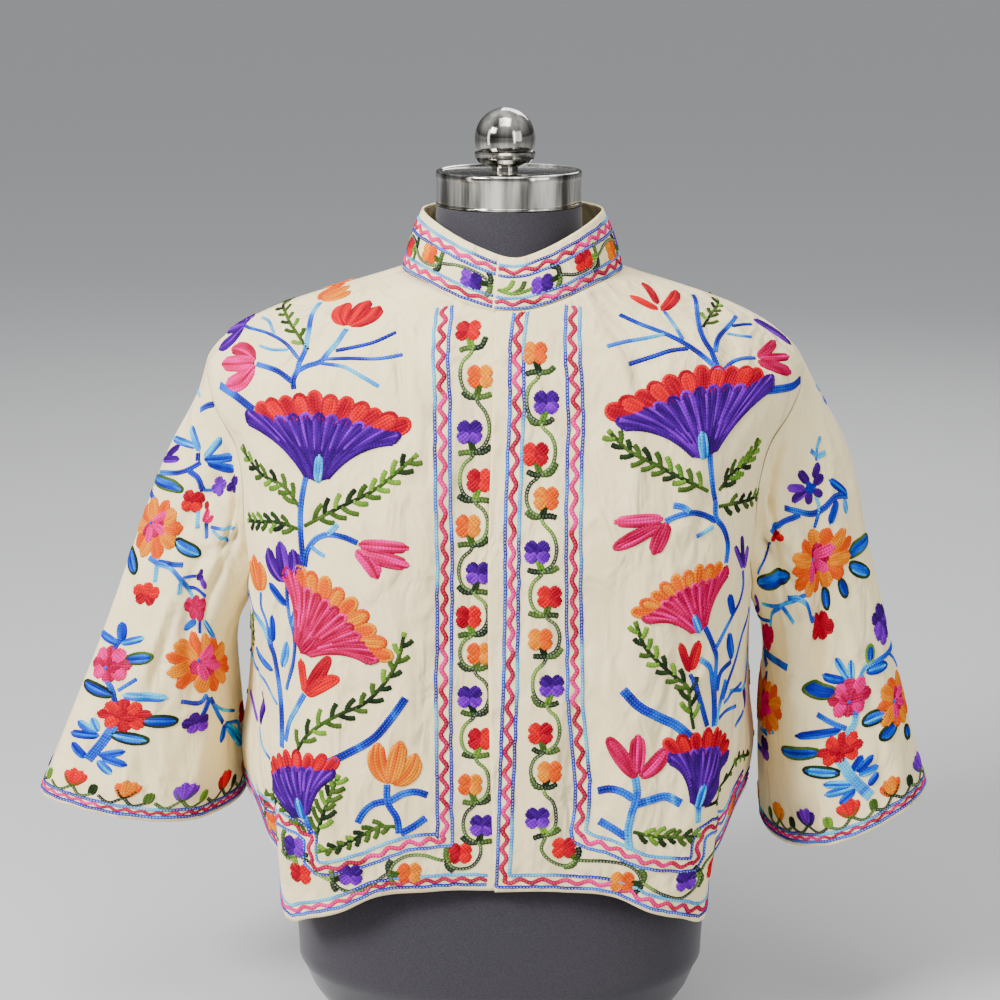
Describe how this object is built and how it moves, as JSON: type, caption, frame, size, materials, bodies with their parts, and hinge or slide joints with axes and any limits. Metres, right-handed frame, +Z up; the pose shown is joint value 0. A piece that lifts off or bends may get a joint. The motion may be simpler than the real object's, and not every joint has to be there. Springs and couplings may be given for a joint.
{
  "type": "embroidered jacket on a dress form",
  "caption": "Open-front cream jacket with stand collar, wide short sleeves and floral wool embroidery, worn by a limbless dress form that stands on its flat base",
  "frame": {"origin": "centre of the dress form's flat underside, on the surface it stands on", "axes": "X to the viewer's right across the chest, Y from the front to the back, Z up; the jacket's opening faces -Y"},
  "size_m": [0.749, 0.2888, 0.7825],
  "materials": {
    "jacket_cloth": "cream cotton worked in wool chain stitch",
    "form_cloth": "near-black stretch jersey",
    "chrome": "polished"
  },
  "bodies": {
    "root": {"front_left": "jacket_cloth", "front_right": "jacket_cloth", "back": "jacket_cloth", "sleeve_left": "jacket_cloth", "sleeve_right": "jacket_cloth", "collar": "jacket_cloth", "form_body": "form_cloth", "form_cap": "chrome", "form_finial_cup": "chrome", "form_finial_ball": "chrome"}
  },
  "joints": []
}
